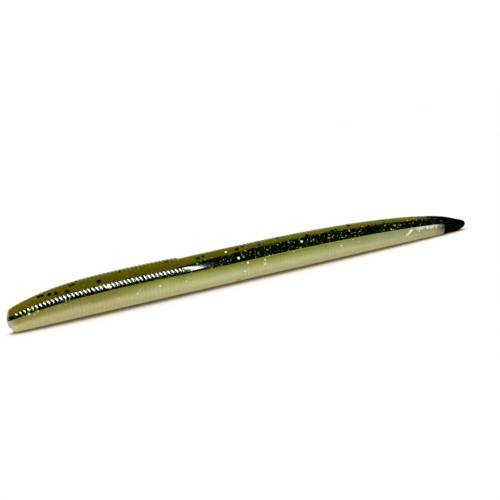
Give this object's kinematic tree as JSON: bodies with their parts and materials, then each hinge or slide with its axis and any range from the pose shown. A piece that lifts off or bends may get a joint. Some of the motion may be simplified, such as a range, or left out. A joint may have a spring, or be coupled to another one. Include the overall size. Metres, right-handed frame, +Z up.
{
  "type": "soft plastic worm",
  "caption": "Ringed soft plastic stick worm with a blunt nose, a smooth band, laminated olive, black and cream layers, and a black dipped tail; it bends along its length.",
  "frame": {"origin": "on the rest plane, under the middle of the smooth band", "axes": "+X along the worm from the blunt nose to the tail, +Z up away from the belly, Y across"},
  "size_m": [0.127, 0.0098, 0.0097],
  "materials": {
    "olive_back": "glossy translucent soft plastic, olive, with black flakes",
    "black_stripe": "glossy black soft plastic with fine gold and green glitter",
    "cream_belly": "glossy milky soft plastic with sparse pearl specks",
    "black_tail": "glossy black dip",
    "black_flake": "black hexagonal glitter flake"
  },
  "bodies": {
    "nose": {"nose_back": "olive_back", "nose_stripe": "black_stripe", "nose_belly": "cream_belly", "nose_flakes": "black_flake", "nose_bend_back": "olive_back", "nose_bend_stripe": "black_stripe", "nose_bend_belly": "cream_belly"},
    "head": {"head_back": "olive_back", "head_stripe": "black_stripe", "head_belly": "cream_belly", "head_flakes": "black_flake", "head_bend_back": "olive_back", "head_bend_stripe": "black_stripe", "head_bend_belly": "cream_belly"},
    "shoulder": {"shoulder_back": "olive_back", "shoulder_stripe": "black_stripe", "shoulder_belly": "cream_belly", "shoulder_flakes": "black_flake", "shoulder_bend_back": "olive_back", "shoulder_bend_stripe": "black_stripe", "shoulder_bend_belly": "cream_belly"},
    "band": {"band_back": "olive_back", "band_stripe": "black_stripe", "band_belly": "cream_belly", "band_flakes": "black_flake"},
    "body": {"body_back": "olive_back", "body_stripe": "black_stripe", "body_belly": "cream_belly", "body_flakes": "black_flake", "body_bend_back": "olive_back", "body_bend_stripe": "black_stripe", "body_bend_belly": "cream_belly"},
    "waist": {"waist_back": "olive_back", "waist_stripe": "black_stripe", "waist_belly": "cream_belly", "waist_flakes": "black_flake", "waist_bend_back": "olive_back", "waist_bend_stripe": "black_stripe", "waist_bend_belly": "cream_belly"},
    "rear": {"rear_back": "olive_back", "rear_stripe": "black_stripe", "rear_belly": "cream_belly", "rear_flakes": "black_flake", "rear_bend_back": "olive_back", "rear_bend_stripe": "black_stripe", "rear_bend_belly": "cream_belly"},
    "tail": {"tail_back": "olive_back", "tail_stripe": "black_stripe", "tail_belly": "cream_belly", "tail_flakes": "black_flake", "tail_dip": "black_tail", "tail_bend_back": "olive_back", "tail_bend_stripe": "black_stripe", "tail_bend_belly": "cream_belly"}
  },
  "joints": [
    {"name": "nose_nod", "type": "hinge", "parent": "head", "child": "nose", "pos_m": [-0.03811, 0, 0.00446], "axis": [0, 1, 0], "range_deg": [-40, 40], "stiffness_Nm_per_rad": 0.00118, "deforming": ["nose_bend_back", "nose_bend_stripe", "nose_bend_belly"]},
    {"name": "head_sway", "type": "hinge", "parent": "shoulder", "child": "head", "pos_m": [-0.02456, 0, 0.00481], "axis": [0, 0, 1], "range_deg": [-40, 40], "stiffness_Nm_per_rad": 0.00159, "deforming": ["head_bend_back", "head_bend_stripe", "head_bend_belly"]},
    {"name": "shoulder_nod", "type": "hinge", "parent": "band", "child": "shoulder", "pos_m": [-0.00996, 0, 0.00476], "axis": [0, 1, 0], "range_deg": [-40, 40], "stiffness_Nm_per_rad": 0.00152, "deforming": ["shoulder_bend_back", "shoulder_bend_stripe", "shoulder_bend_belly"]},
    {"name": "body_nod", "type": "hinge", "parent": "band", "child": "body", "pos_m": [0.00992, 0, 0.00455], "axis": [0, 1, 0], "range_deg": [-40, 40], "stiffness_Nm_per_rad": 0.00127, "deforming": ["body_bend_back", "body_bend_stripe", "body_bend_belly"]},
    {"name": "waist_sway", "type": "hinge", "parent": "body", "child": "waist", "pos_m": [0.02492, 0, 0.00446], "axis": [0, 0, 1], "range_deg": [-40, 40], "stiffness_Nm_per_rad": 0.00118, "deforming": ["waist_bend_back", "waist_bend_stripe", "waist_bend_belly"]},
    {"name": "rear_nod", "type": "hinge", "parent": "waist", "child": "rear", "pos_m": [0.03909, 0, 0.00418], "axis": [0, 1, 0], "range_deg": [-40, 40], "stiffness_Nm_per_rad": 0.000914, "deforming": ["rear_bend_back", "rear_bend_stripe", "rear_bend_belly"]},
    {"name": "tail_sway", "type": "hinge", "parent": "rear", "child": "tail", "pos_m": [0.05333, 0, 0.0036], "axis": [0, 0, 1], "range_deg": [-50, 50], "stiffness_Nm_per_rad": 0.000509, "deforming": ["tail_bend_back", "tail_bend_stripe", "tail_bend_belly"]}
  ]
}
